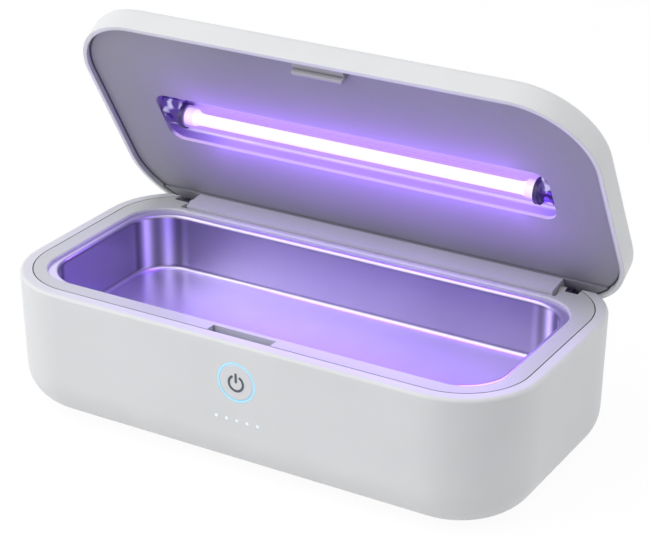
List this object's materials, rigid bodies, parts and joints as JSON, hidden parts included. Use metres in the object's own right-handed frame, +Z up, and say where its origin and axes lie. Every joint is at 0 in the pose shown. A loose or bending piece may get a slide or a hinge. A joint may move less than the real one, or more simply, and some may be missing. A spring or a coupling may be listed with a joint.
{
  "type": "uv sanitizer box",
  "caption": "Countertop UV sanitizer box for phones: a friction-hinged lid carries a tubular lamp over a drawn steel tub, with a lit power button and status lights on the front.",
  "frame": {"origin": "on the table plane, under the middle of the housing, at the centre of the rubber foot ring", "axes": "+X along the hinge to the right, +Y to the back where the hinge is, +Z up; the lid is stored open at its stop"},
  "size_m": [0.2312, 0.1259, 0.1555],
  "materials": {
    "white_shell": "satin moulded plastic",
    "grey_bezel": "satin moulded plastic",
    "grey_liner": "fine-grained matt moulded plastic",
    "tub_steel": "softly brushed stainless sheet",
    "reflector": "bright anodised sheet",
    "quartz": "clear quartz tube",
    "clip_black": "matt black silicone",
    "chrome": "polished",
    "lamp_cap": "dark moulded cap",
    "silicone": "pale silicone",
    "button_grey": "satin moulded plastic",
    "light_diffuser": "translucent light guide",
    "steel": "zinc-plated",
    "board": "green laminate",
    "black_part": "moulded",
    "led": "moulded",
    "can": "drawn can",
    "rubber": "soft, matt",
    "nylon": "natural nylon",
    "magnet": "nickel plated"
  },
  "bodies": {
    "base": {"base_shell": "white_shell", "bottom_cover": "white_shell", "bottom_screws": "steel", "rubber_foot_ring": "rubber", "bezel_frame": "grey_bezel", "steel_tub": "tub_steel", "tub_gasket": "silicone", "hinge_bracket_left": "steel", "hinge_bracket_right": "steel", "hinge_pin_left": "steel", "hinge_pin_right": "steel", "friction_washer_left": "nylon", "friction_washer_right": "nylon", "light_ring": "light_diffuser", "tact_switch": "black_part", "indicator_light_pipes": "light_diffuser", "status_leds": "led", "ring_leds": "led", "control_board": "board", "control_board_screws": "steel", "control_chip": "black_part", "lid_sensor": "black_part", "lamp_driver_board": "board", "driver_board_screws": "steel", "driver_transformer": "black_part", "driver_capacitors": "can", "usb_socket": "steel", "usb_tongue": "black_part"},
    "button": {"button_cap": "button_grey", "button_pad": "rubber", "switch_plunger": "black_part"},
    "lid": {"lid_shell": "white_shell", "lid_liner": "grey_liner", "hinge_barrel": "grey_bezel", "latch_hook": "grey_liner", "lid_magnet": "magnet", "lamp_reflector": "reflector", "lamp_tube": "quartz", "lamp_end_caps": "lamp_cap", "lamp_clips": "clip_black", "lamp_sockets": "chrome", "socket_screws": "chrome"}
  },
  "joints": [
    {"name": "lid_hinge", "type": "hinge", "parent": "base", "child": "lid", "pos_m": [0, 0.05, 0.0543], "axis": [-1, 0, 0], "range_deg": [-60, 0]},
    {"name": "power_button_press", "type": "slide", "parent": "base", "child": "button", "axis": [0, 0.9998, 0.0209], "range_m": [0, 0.0008], "stiffness_N_per_m": 1500}
  ]
}
